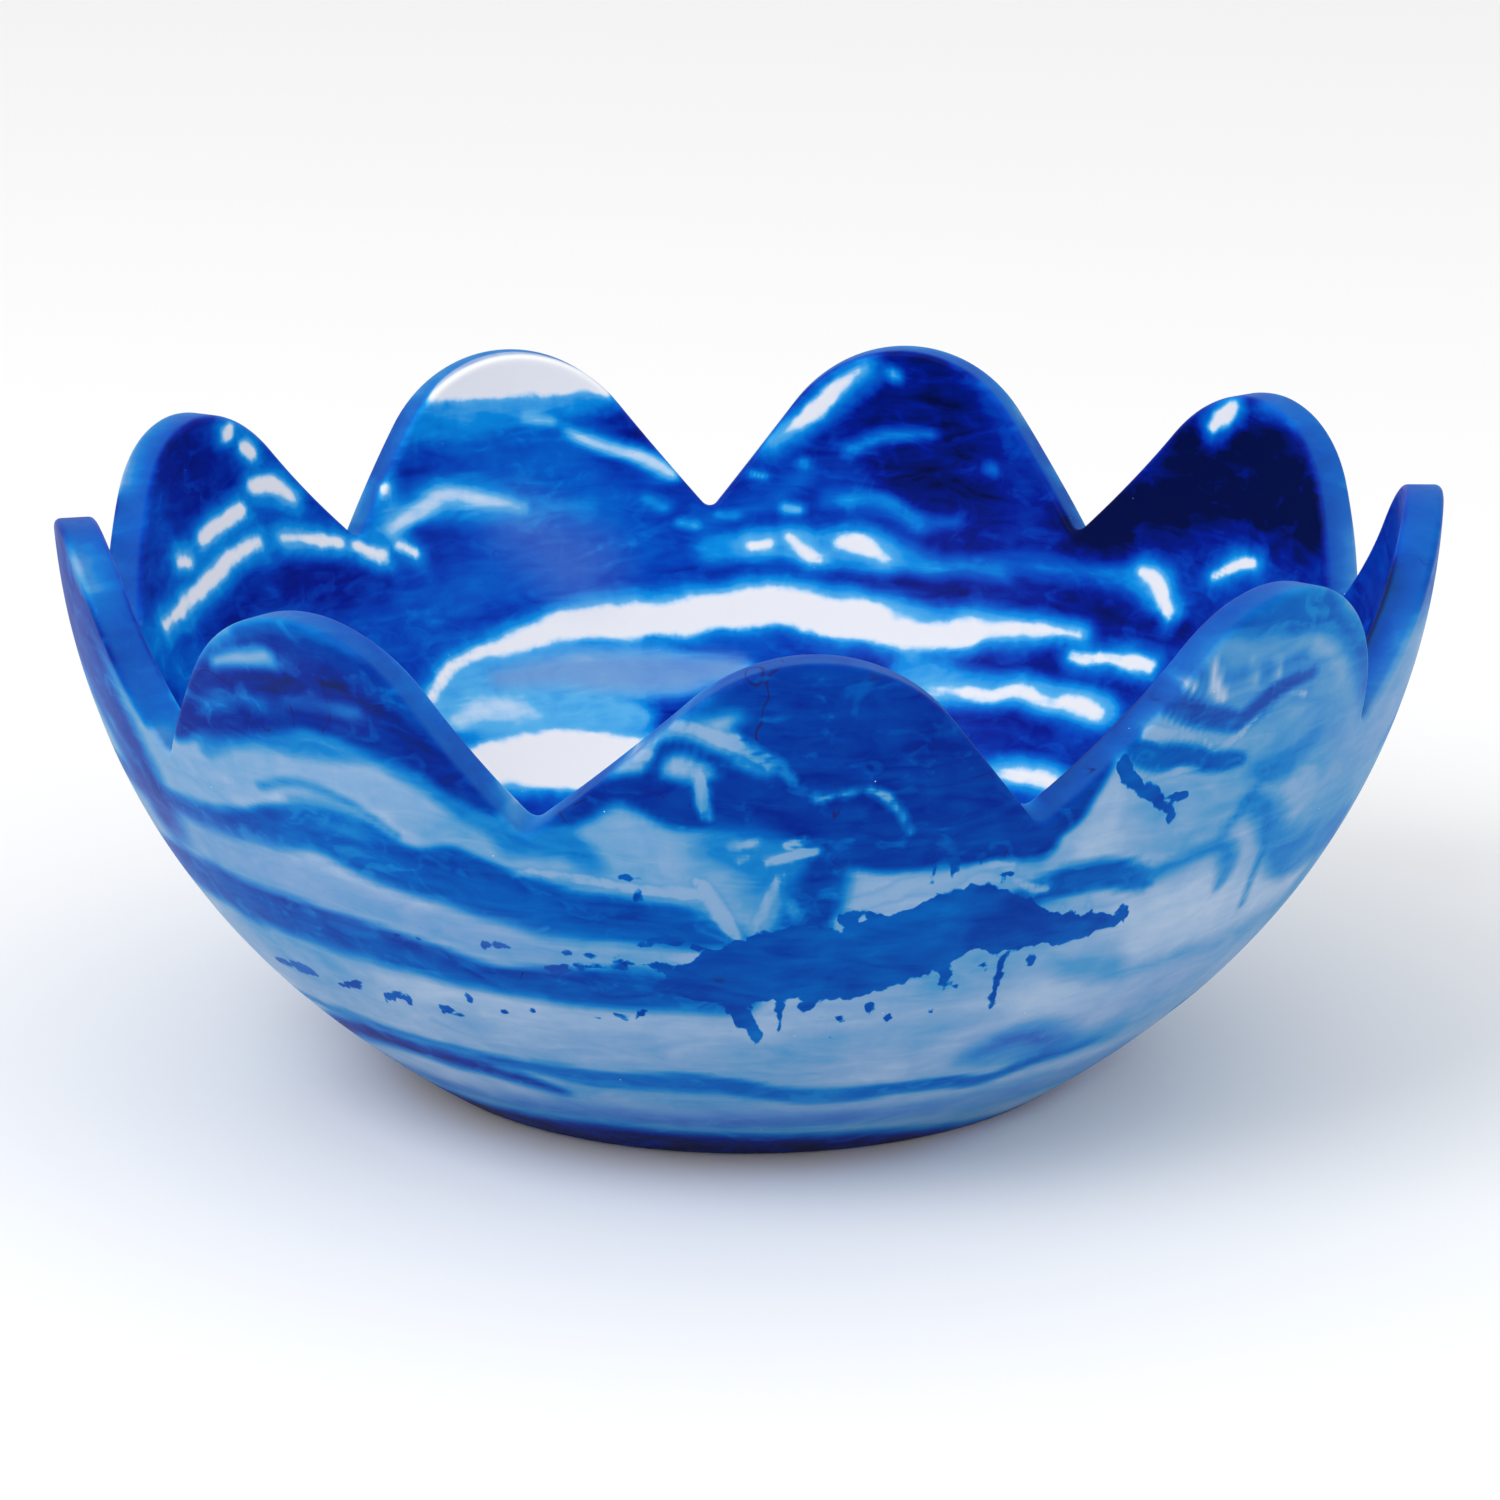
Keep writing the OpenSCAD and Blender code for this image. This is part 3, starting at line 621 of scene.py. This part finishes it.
cobaltStrokes = {
    "outside": [
        [(-100, 53, 5), (-96, 54.5, 7.4), (-91, 57.5, 9.6), (-86, 55.4, 7.8), (-83, 58.8, 8.6),
         (-79, 61.8, 8.6), (-75.6, 65, 7.6), (-72, 63.2, 6.4), (-69, 61.6, 4.6), (-65, 60.6, 3.4),
         (-61.4, 60, 1.6), (-60, 59.4, 0.5)],
        [(-96, 47, 2.6), (-94.6, 42, 1.3), (-94.2, 38, 0.6), (-94.4, 35.6, 0.1)],
        [(-91.8, 48, 0.6), (-91.6, 41, 0.1)], [(-77, 54, 1), (-77.1, 48.4, 0.6), (-77.3, 44.2, 0.5)],
        [(-71.6, 56, 1.4), (-71.2, 48, 0.9), (-70.9, 42, 0.3)], [(-69, 55, 0.8), (-68.5, 52.8, 0.8)],
        [(-73.4, 54.6, 0.8), (-73, 53.4, 0.4)], [(-89.6, 46.4, 0.6), (-88.8, 47.8, 0.5)],
        [(-88.2, 44.6, 0.15), (-86.6, 44.2, 0.2), (-85.6, 42.6, 0.15)],
        [(-86.8, 39.5, 0.5), (-86, 39.6, 0.6)], [(-89.2, 40, 0.3), (-88.8, 39.8, 0.2)],
        [(-81.6, 45, 0.9), (-81.5, 42.8, 0.7)], [(-83.6, 47, 0.7), (-83.2, 44.8, 0.3)],
        [(-75.8, 50.6, 0.3), (-75.6, 50.2, 0.2)],
        [(-152, 38.4, 0.3), (-147, 39.4, 0.7), (-142.6, 40, 0.3)],
        [(-140.6, 38.3, 0.4), (-138, 39.2, 0.9), (-136.5, 40.4, 1.2), (-135.3, 41.9, 0.4)],
        [(-132.7, 39, 0.7), (-131.4, 40.6, 0.8), (-130, 40.4, 1), (-129.9, 39.2, 0.7)],
        [(-126.2, 38.4, 0.5), (-124.6, 39.8, 0.8), (-123.2, 38.7, 0.5)],
        [(-121.4, 43.2, 0.4), (-121, 45.2, 0.2)], [(-118.3, 41.3, 0.3), (-118, 41.1, 0.2)],
        [(-115, 43.3, 0.3), (-114.8, 43.1, 0.2)], [(-108.7, 43, 0.3), (-108.5, 42.9, 0.2)],
        [(-107.2, 43.7, 0.6), (-106.4, 43.6, 0.5)], [(-105, 44.4, 0.3), (-104.8, 45.4, 0.5)],
        [(-117.5, 57.4, 0.5), (-117.2, 58.6, 0.5)], [(-116, 59, 0.4), (-115.4, 58.6, 0.3)],
        [(-110, 59.2, 0.3), (-109.6, 59.1, 0.3)], [(-108.6, 58.9, 0.3), (-107.2, 58.9, 0.3)],
        [(-106.4, 59, 0.2), (-104.8, 59.2, 0.3)],
        [(-104, 61.6, 0.6), (-101.4, 63.4, 0.8), (-99, 62, 0.6), (-97.4, 59, 0.8)],
        [(-112, 54, 0.8), (-108, 56, 1), (-103, 57, 0.9), (-99, 55, 1.4)],
        [(-127, 56.4, 0.3), (-125.2, 57.2, 0.6), (-123.8, 55.8, 0.4)],
        [(-103.6, 72, 1.2), (-103.2, 74.4, 0.6), (-103, 76, 0.3)],
        [(-104.4, 76.6, 0.3), (-102.8, 76.4, 0.5)], [(-73.4, 73.2, 0.5), (-72.6, 73.8, 0.5)],
        [(-67.8, 74.6, 0.2), (-67.4, 72.6, 0.4)], [(-66.4, 74.4, 0.2), (-66, 73.6, 0.3)],
        [(-79.6, 78, 0.6), (-79.4, 73.6, 0.1)], [(-77.6, 78, 0.6), (-77.4, 74, 0.1)],
        [(-75.6, 78, 0.6), (-75.4, 76, 0.1)], [(-86.2, 66.6, 0.3), (-84, 68.4, 0.5), (-83.6, 66, 0.3)],
        [(-64.4, 95, 1.2), (-62.8, 90.4, 1.4), (-60.8, 86.6, 1.3), (-59.4, 83.6, 0.8), (-58.9, 81.6, 0.2)],
        [(-60.6, 86, 0.9), (-58.6, 86.2, 0.6), (-57.2, 85.4, 0.2)],
        [(-62.6, 65.6, 0.5), (-61, 62.4, 0.8), (-60.4, 60.6, 0.3)],
        [(-66, 64, 0.6), (-63.6, 62.6, 0.8), (-62, 60.6, 0.8)],
    ],
    "inside": [],        # none are seen there
}
# How far the poured strokes drift and how mottled the tone is: share, size and seed
drift = {
    "across": [(1.5, 24, 3), (0.7, 8, 4)],
    "up": [(1.3, 22, 5), (0.7, 7, 6)],
    "mottle": [(0.10, 30, 21), (0.05, 11, 22)],
}
# Tone of each side where nothing is drawn
baseTone = {"outside": 0.15, "inside": 0.76}
pathSteps = 5         # points in each stretch of a stroke's curve
strokeSpare = 0.12    # millimetres added to every stroke, so that the thinnest still show
farOff = 50.0         # millimetres, for points that a stroke doesn't come near
spare = 12            # millimetres past a soft edge that are still worked out
crispReach = 12.0     # distances to milky and cobalt strokes are kept up to here


def wrapped(angle):
    return (angle + 180) % 360 - 180


# A path's listed points joined by a smooth curve
def smoothPath(path):
    knots = np.array([path[0], *path, path[-1]], dtype=float)
    share = np.arange(pathSteps)[:, None] / pathSteps
    made = []
    for a, b, c, d in zip(knots, knots[1:], knots[2:], knots[3:]):
        curve = 2 * b + (c - a) * share + (2 * a - 5 * b + 4 * c - d) * share ** 2
        made.append((curve + (3 * b - a - 3 * c + d) * share ** 3) / 2)
    made.append(knots[-1:])
    made = np.concatenate(made)
    made[:, 2] = np.maximum(made[:, 2], 0.05) + strokeSpare
    return made


# Each point is painted by its angle and its distance up the wall's curve, both with a slow
# drift so that strokes look poured
heights = np.linspace(0, bowl["height"] + 5, 500)
lengths = np.concatenate([[0], np.cumsum(np.hypot(np.diff(heights), np.diff(wallRadius(heights))))])


def upTheWall(height):
    return np.where(height > 0, np.interp(height, heights, lengths), height)


closest = 4           # millimetres from the axis, nearer than which a degree isn't made smaller
degree = np.maximum(np.hypot(points[:, 0], points[:, 1]), closest) * math.pi / 180
paintAngle = azimuth + wandered(points, drift["across"]) / degree
paintLength = upTheWall(painted) + wandered(points, drift["up"])


# Millimetres from every chosen point to the edge of a stroke, negative inside it
def strokeReach(path, chosen, margin):
    curve = smoothPath(path)
    along = upTheWall(curve[:, 1])
    middle = (curve[:, 0].min() + curve[:, 0].max()) / 2
    spread = (curve[:, 0].max() - curve[:, 0].min()) / 2
    off = wrapped(paintAngle[chosen] - middle)
    near = np.abs(off) * degree[chosen] < spread * degree[chosen] + margin
    near &= paintLength[chosen] > along.min() - margin
    near &= paintLength[chosen] < along.max() + margin
    result = np.full(len(chosen), farOff)
    spot = chosen[near]
    across = off[near]
    up = paintLength[spot]
    perDegree = degree[spot]
    best = np.full(len(spot), farOff)
    for k in range(len(curve) - 1):
        x = (across - (curve[k, 0] - middle)) * perDegree
        y = up - along[k]
        dx = (curve[k + 1, 0] - curve[k, 0]) * perDegree
        dy = along[k + 1] - along[k]
        share = np.clip((x * dx + y * dy) / np.maximum(dx * dx + dy * dy, 1e-6), 0, 1)
        half = curve[k, 2] + (curve[k + 1, 2] - curve[k, 2]) * share
        best = np.minimum(best, np.hypot(x - share * dx, y - share * dy) - half)
    result[near] = best
    return result


def softEdge(distance, softness):
    share = np.clip(0.5 - distance / (2 * softness), 0, 1)
    return share * share * (3 - 2 * share)


def mirrored(path):
    return [(-angle, height, half) for angle, height, half in path]


# The half of each side that is out of sight from the front carries the same pours, mirrored
def bothHalves(strokes):
    return [stroke[:-1] + (path,) for stroke in strokes for path in (stroke[-1], mirrored(stroke[-1]))]


# Tone, veil and painted highlight haze, and the distances to the nearest milky and cobalt strokes, for one
# side's points
def paintSide(side, chosen, washes):
    tone = baseTone[side] + wandered(points[chosen], drift["mottle"])
    for ink, softness, strength, path in bothHalves(washes):
        cover = strength * softEdge(strokeReach(path, chosen, softness + spare), softness)
        tone += (ink - tone) * cover
    veilAndHighlightHaze = np.zeros(len(chosen))
    for strength, softness, where, path in bothHalves(lilacVeilsAndHighlightHaze):
        if where == side:
            cover = strength * softEdge(strokeReach(path, chosen, softness + spare), softness)
            veilAndHighlightHaze += (1 - veilAndHighlightHaze) * cover
    crisp = []
    for strokes in (milkStrokes[side], cobaltStrokes[side]):
        nearest = np.full(len(chosen), crispReach)
        for path in strokes:
            for half in (path, mirrored(path)):
                nearest = np.minimum(nearest, strokeReach(half, chosen, crispReach + 4))
        crisp.append(nearest)
    return tone, veilAndHighlightHaze, *crisp


def paintBowl():
    layers = np.zeros((4, len(points)))
    outer = np.flatnonzero(depth < 1)
    inner = np.flatnonzero(depth > 0)
    for side, chosen, weight, washes in (
        ("outside", outer, 1 - depth[outer], outsideWashes),
        ("inside", inner, depth[inner], insideWashes),
    ):
        for layer, values in zip(layers, paintSide(side, chosen, washes)):
            layer[chosen] += values * weight
    for name, values in zip(("tone", "veilAndHighlightHaze", "milk", "cobalt"), layers):
        mesh.attributes.new(name, "FLOAT", "POINT").data.foreach_set("value", values)
    mesh.attributes.new("depth", "FLOAT", "POINT").data.foreach_set("value", depth)


paintBowl()
print("bowl painted")


tree = None


# A shader node with its settings, and its inputs set to a value or joined to another node
def node(kind, inputs, **settings):
    made = tree.nodes.new("ShaderNode" + kind)
    for name, value in settings.items():
        setattr(made, name, value)
    for key, value in inputs.items():
        if isinstance(value, bpy.types.NodeSocket):
            tree.links.new(value, made.inputs[key])
        else:
            made.inputs[key].default_value = value
    return made


def sumOf(a, b, operation="ADD"):
    return node("Math", {0: a, 1: b}, operation=operation).outputs[0]


def product(a, b):
    return sumOf(a, b, "MULTIPLY")


def mixed(share, a, b):
    return node("Mix", {0: share, 2: a, 3: b}).outputs[0]


def blended(share, a, b):
    return node("Mix", {0: share, 6: a, 7: b}, data_type="RGBA").outputs[2]


# A smooth step from one value to another as the input runs from low to high
def eased(value, low, high, start=0.0, end=1.0):
    inputs = {"Value": value, "From Min": low, "From Max": high, "To Min": start, "To Max": end}
    return node("MapRange", inputs, interpolation_type="SMOOTHSTEP").outputs[0]


def layer(name):
    return node("Attribute", {}, attribute_name=name).outputs["Fac"]


# Noises in the resin: size in millimetres, detail, stretch along X, Y and Z, and warp
even = (1, 1, 1)
grains = {
    "fine": (2.2, 3, even, 0.0),
    "streaks": (5, 3, (1, 1, 0.3), 0.6),
    "layers": (14, 4, (1, 1, 3.5), 1.2),
    "clouds": (18, 4, (1, 1, 1.4), 0.8),
    "tatters": (4.2, 2, (1, 1, 0.6), 0.8),      # along the edges of the cobalt
    "thinning": (11, 2, even, 0.0),             # of the milk
    "billows": (8, 3, (1, 1, 1.5), 1.0),
    "sanding": (6, 3, (1, 1, 0.4), 0.0),
    "hairlines": (24, 2, even, 0.8),
    "hairlineGaps": (14, 2, even, 0.0),
    "polish": (9, 3, even, 0.0),
    "skin": (1.1, 2, even, 0.0),
    "swell": (24, 2, even, 0.0),
    "sawMarks": (2.5, 3, even, 0.0),
}


# One of those noises, between about -0.5 and 0.5
def grain(name):
    size, detail, stretch, warp = grains[name]
    place = node("TexCoord", {}).outputs["Object"]
    place = node("Mapping", {"Vector": place, "Scale": stretch}).outputs[0]
    inputs = {"Vector": place, "Scale": 1000 / size, "Detail": detail, "Distortion": warp}
    return sumOf(node("TexNoise", inputs).outputs["Fac"], -0.5)


# Small round specks: spacing and radius in millimetres, and the share of the cells that hold one
scattered = {
    "dust": (4, 0.16, 0.16),
    "flecks": (7, 0.22, 0.1),
    "pinholes": (5, 0.2, 0.2),
}


def specks(name):
    spacing, radius, chance = scattered[name]
    place = node("TexCoord", {}).outputs["Object"]
    cells = node("TexVoronoi", {"Vector": place, "Scale": 1000 / spacing})
    spot = eased(cells.outputs["Distance"], radius / spacing, radius / spacing * 0.6)
    picked = sumOf(node("SeparateColor", {"Color": cells.outputs["Color"]}).outputs[0], chance, "LESS_THAN")
    return product(spot, picked)


def colour(code):
    parts = [int(code[k:k + 2], 16) / 255 for k in (0, 2, 4)]
    return tuple(c / 12.92 if c < 0.04045 else ((c + 0.055) / 1.055) ** 2.4 for c in parts) + (1.0,)


def colourRamp(value, stops):
    made = node("ValToRGB", {"Fac": value})
    ramp = made.color_ramp
    while len(ramp.elements) < len(stops):
        ramp.elements.new(0.5)
    for element, (place, code) in zip(ramp.elements, stops):
        element.position = place
        element.color = colour(code)
    return made.outputs["Color"]


resin = {
    "outside": [(0, "a4b8d0"), (0.12, "7c9fc4"), (0.24, "4a8ebe"), (0.38, "1278bc"), (0.54, "005cb0"),
                (0.7, "003f9a"), (0.85, "002486"), (1, "0a184c")],
    "inside": [(0, "fff8ee"), (0.1, "d6e8f4"), (0.22, "62bce8"), (0.36, "0692de"), (0.52, "0062c6"),
               (0.68, "0042b4"), (0.84, "001c90"), (1, "000c44")],
    "lilac": "8492c2",
    "cutEdge": "1c5cac",
    "hairline": "1c1044",
    "dust": "e4e8f4",
    "fleck": "0a1a50",
    "roughRim": 0.5,
    # some light sinks a few millimetres into the resin and comes out near by
    "body": {"IOR": 1.46, "Specular IOR Level": 0.04, "Subsurface Weight": 0.12,
             "Subsurface Scale": 0.003, "Subsurface Radius": (0.7, 0.9, 1.0)},
}
# Amounts on the outside and on the inside of the bowl
sided = {
    "milkClouds": (2.0, 3.4),      # millimetres that the clouds move the edge of the milk
    "milkStart": (0.35, 1.3),      # millimetres outside a stroke at which its milk starts
    "milkFull": (-0.5, -1.3),      # and at which it is full
    "milk": (0.85, 1.0),
    "milkTone": (0.1, 0.03),
    "haloReach": (1.2, 5.2),       # millimetres round a milky stroke
    "halo": (0.5, 0.9),
    "haloTone": (0.2, 0.18),
    "billows": (-0.14, -0.08),
    "dust": (0.7, 0.25),
    "rough": (0.42, 0.34),
    "skin": (0.05, 0.01),
}
# Values at which something starts and is full, then how much of it there is at each
ranges = {
    "cobalt": (0.25, -0.25),
    "milkThinning": (-0.16, 0.12, 0.35, 1.0),
    "mottle": (0.05, 0.5, 0.4, 1.0),      # by tone, so that pale resin stays calmer
    "billows": (0.02, 0.2),
    "billowTones": (0.3, 0.6),
    "veilAndHighlightHaze": (0.85, 0.2, 0.25, 0.75),      # by tone, so that it shows least on cobalt
    "hairlines": (0.008, 0.002),
    "hairlineGaps": (0.02, 0.1),
    "hairlineTones": (0.62, 0.75),
    "hairlineDepth": (0.95, 0.4),
    "rimOutside": (0.02, 0.2),
    "rimInside": (0.98, 0.8),
}
# How much each noise moves the strokes' edges, in millimetres, and the tone
ragged = {"fine": 1.2, "streaks": 1.4}
cobaltRagged = {"clouds": 3.4, "streaks": 1.2, "tatters": 3.4}
mottle = {"layers": 0.36, "clouds": 0.24}
cobaltMottle = {"clouds": 0.5, "layers": 0.3}
amounts = {
    "milkThinsInwards": -0.12,
    "streaks": 0.07,
    "haloKeeps": 0.26,        # share of the tone under a halo that still shows
    "cobalt": 0.92,
    "cobaltTone": 0.68,
    "sanded": 0.55,
    "sanding": 0.7,
    "hairlines": 0.6,
    "flecks": 0.6,
    "roughPatches": 0.12,
    "swell": 0.5,
    "pinholes": -0.12,
    "sawMarks": 0.12,
    "relief": 0.8,
}


def bySide(inside, name):
    return mixed(inside, *sided[name])


def within(value, name):
    return eased(value, *ranges[name])


# Noises added together, each by its own amount
def together(noises, shares):
    total = 0.0
    for name, share in shares.items():
        total = sumOf(total, product(noises[name], share))
    return total


# Tone of the resin at each place, from the painted layers and the noises
def marbledTone(inside):
    noises = {name: grain(name) for name in ("fine", "streaks", "layers", "clouds", "tatters")}
    wobble = together(noises, ragged)
    clouded = product(noises["clouds"], bySide(inside, "milkClouds"))
    milkReach = sumOf(layer("milk"), sumOf(wobble, clouded))
    milk = eased(milkReach, bySide(inside, "milkStart"), bySide(inside, "milkFull"))
    thinning = sumOf(grain("thinning"), product(layer("milk"), amounts["milkThinsInwards"]))
    milk = product(milk, within(thinning, "milkThinning"))
    cobaltReach = sumOf(layer("cobalt"), sumOf(wobble, together(noises, cobaltRagged)))
    cobalt = within(cobaltReach, "cobalt")

    tone = sumOf(layer("tone"), product(together(noises, mottle), within(layer("tone"), "mottle")))
    tone = sumOf(tone, product(noises["streaks"], amounts["streaks"]))
    billows = product(within(grain("billows"), "billows"), within(tone, "billowTones"))
    tone = sumOf(tone, product(billows, bySide(inside, "billows")))
    halo = product(eased(milkReach, bySide(inside, "haloReach"), 0.0), bySide(inside, "halo"))
    haloTone = sumOf(product(tone, amounts["haloKeeps"]), bySide(inside, "haloTone"))
    tone = mixed(halo, tone, haloTone)
    tone = mixed(product(milk, bySide(inside, "milk")), tone, bySide(inside, "milkTone"))
    cobaltTone = sumOf(amounts["cobaltTone"], together(noises, cobaltMottle))
    return mixed(product(cobalt, amounts["cobalt"]), tone, cobaltTone)


# Colour of the resin, with a lilac veil and a painted lilac highlight haze, the sanded rim, hairlines and
# specks over it
def resinPaint(inside, onRim):
    tone = marbledTone(inside)
    paint = blended(inside, colourRamp(tone, resin["outside"]), colourRamp(tone, resin["inside"]))
    paint = blended(product(layer("veilAndHighlightHaze"), within(tone, "veilAndHighlightHaze")), paint, colour(resin["lilac"]))
    sanded = sumOf(amounts["sanded"], product(grain("sanding"), amounts["sanding"]))
    paint = blended(product(onRim, sanded), paint, colour(resin["cutEdge"]))
    line = within(sumOf(grain("hairlines"), 0.0, "ABSOLUTE"), "hairlines")
    line = product(line, within(grain("hairlineGaps"), "hairlineGaps"))
    line = product(line, within(tone, "hairlineTones"))
    line = product(line, within(inside, "hairlineDepth"))
    paint = blended(product(line, amounts["hairlines"]), paint, colour(resin["hairline"]))
    dust = product(specks("dust"), bySide(inside, "dust"))
    paint = blended(dust, paint, colour(resin["dust"]))
    return blended(product(specks("flecks"), amounts["flecks"]), paint, colour(resin["fleck"]))


def resinRoughness(inside, onRim):
    rough = mixed(onRim, bySide(inside, "rough"), resin["roughRim"])
    return sumOf(rough, product(grain("polish"), amounts["roughPatches"]))


def resinRelief(inside, onRim):
    skin = product(grain("skin"), bySide(inside, "skin"))
    height = sumOf(skin, product(grain("swell"), amounts["swell"]))
    height = sumOf(height, product(specks("pinholes"), amounts["pinholes"]))
    height = sumOf(height, product(product(grain("sawMarks"), onRim), amounts["sawMarks"]))
    inputs = {"Height": height, "Distance": mm, "Strength": amounts["relief"]}
    return node("Bump", inputs).outputs[0]


def marbledResin():
    global tree
    material = bpy.data.materials.new("marbled_resin")
    material.use_nodes = True
    tree = material.node_tree
    shader = tree.nodes["Principled BSDF"]
    inside = layer("depth")        # 0 on the outside, 1 on the inside, between them on the cut rim
    onRim = product(within(inside, "rimOutside"), within(inside, "rimInside"))
    tree.links.new(resinPaint(inside, onRim), shader.inputs["Base Color"])
    tree.links.new(resinRoughness(inside, onRim), shader.inputs["Roughness"])
    tree.links.new(resinRelief(inside, onRim), shader.inputs["Normal"])
    for name, value in resin["body"].items():
        shader.inputs[name].default_value = value
    return material


mesh.materials.append(marbledResin())
print("resin mixed")

bowlPiece = bpy.data.objects.new("petal_bowl", mesh)
scene.collection.objects.link(bowlPiece)
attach(bowlPiece, "root")
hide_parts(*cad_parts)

studio = {
    "floorSize": 8,
    "floorTone": 0.86,
    "floorRough": 0.9,
    "world": 0.95,
    # place in metres, size in metres, power in watts
    "lamps": [("key", (-1.2, -1.0, 1.6), 1.2, 20), ("fill", (1.6, -1.2, 1.0), 1.4, 6)],
}


def lightStudio():
    world = bpy.data.worlds.new("studio")
    scene.world = world
    world.use_nodes = True
    sky = world.node_tree.nodes["Background"]
    sky.inputs["Color"].default_value = (1, 1, 1, 1)
    sky.inputs["Strength"].default_value = studio["world"]
    bpy.ops.mesh.primitive_plane_add(size=studio["floorSize"])
    floor = bpy.context.object
    floor.name = "floor"
    cover = bpy.data.materials.new("floor_card")
    cover.use_nodes = True
    shader = cover.node_tree.nodes["Principled BSDF"]
    shader.inputs["Base Color"].default_value = (studio["floorTone"],) * 3 + (1.0,)
    shader.inputs["Roughness"].default_value = studio["floorRough"]
    floor.data.materials.append(cover)
    for name, place, size, power in studio["lamps"]:
        data = bpy.data.lights.new(name, "AREA")
        data.energy = power
        data.size = size
        lamp = bpy.data.objects.new(name, data)
        lamp.location = place
        lamp.rotation_euler = (-mathutils.Vector(place)).to_track_quat("-Z", "Y").to_euler()
        scene.collection.objects.link(lamp)
    scene.view_settings.view_transform = "Standard"


lightStudio()
print("studio lit")
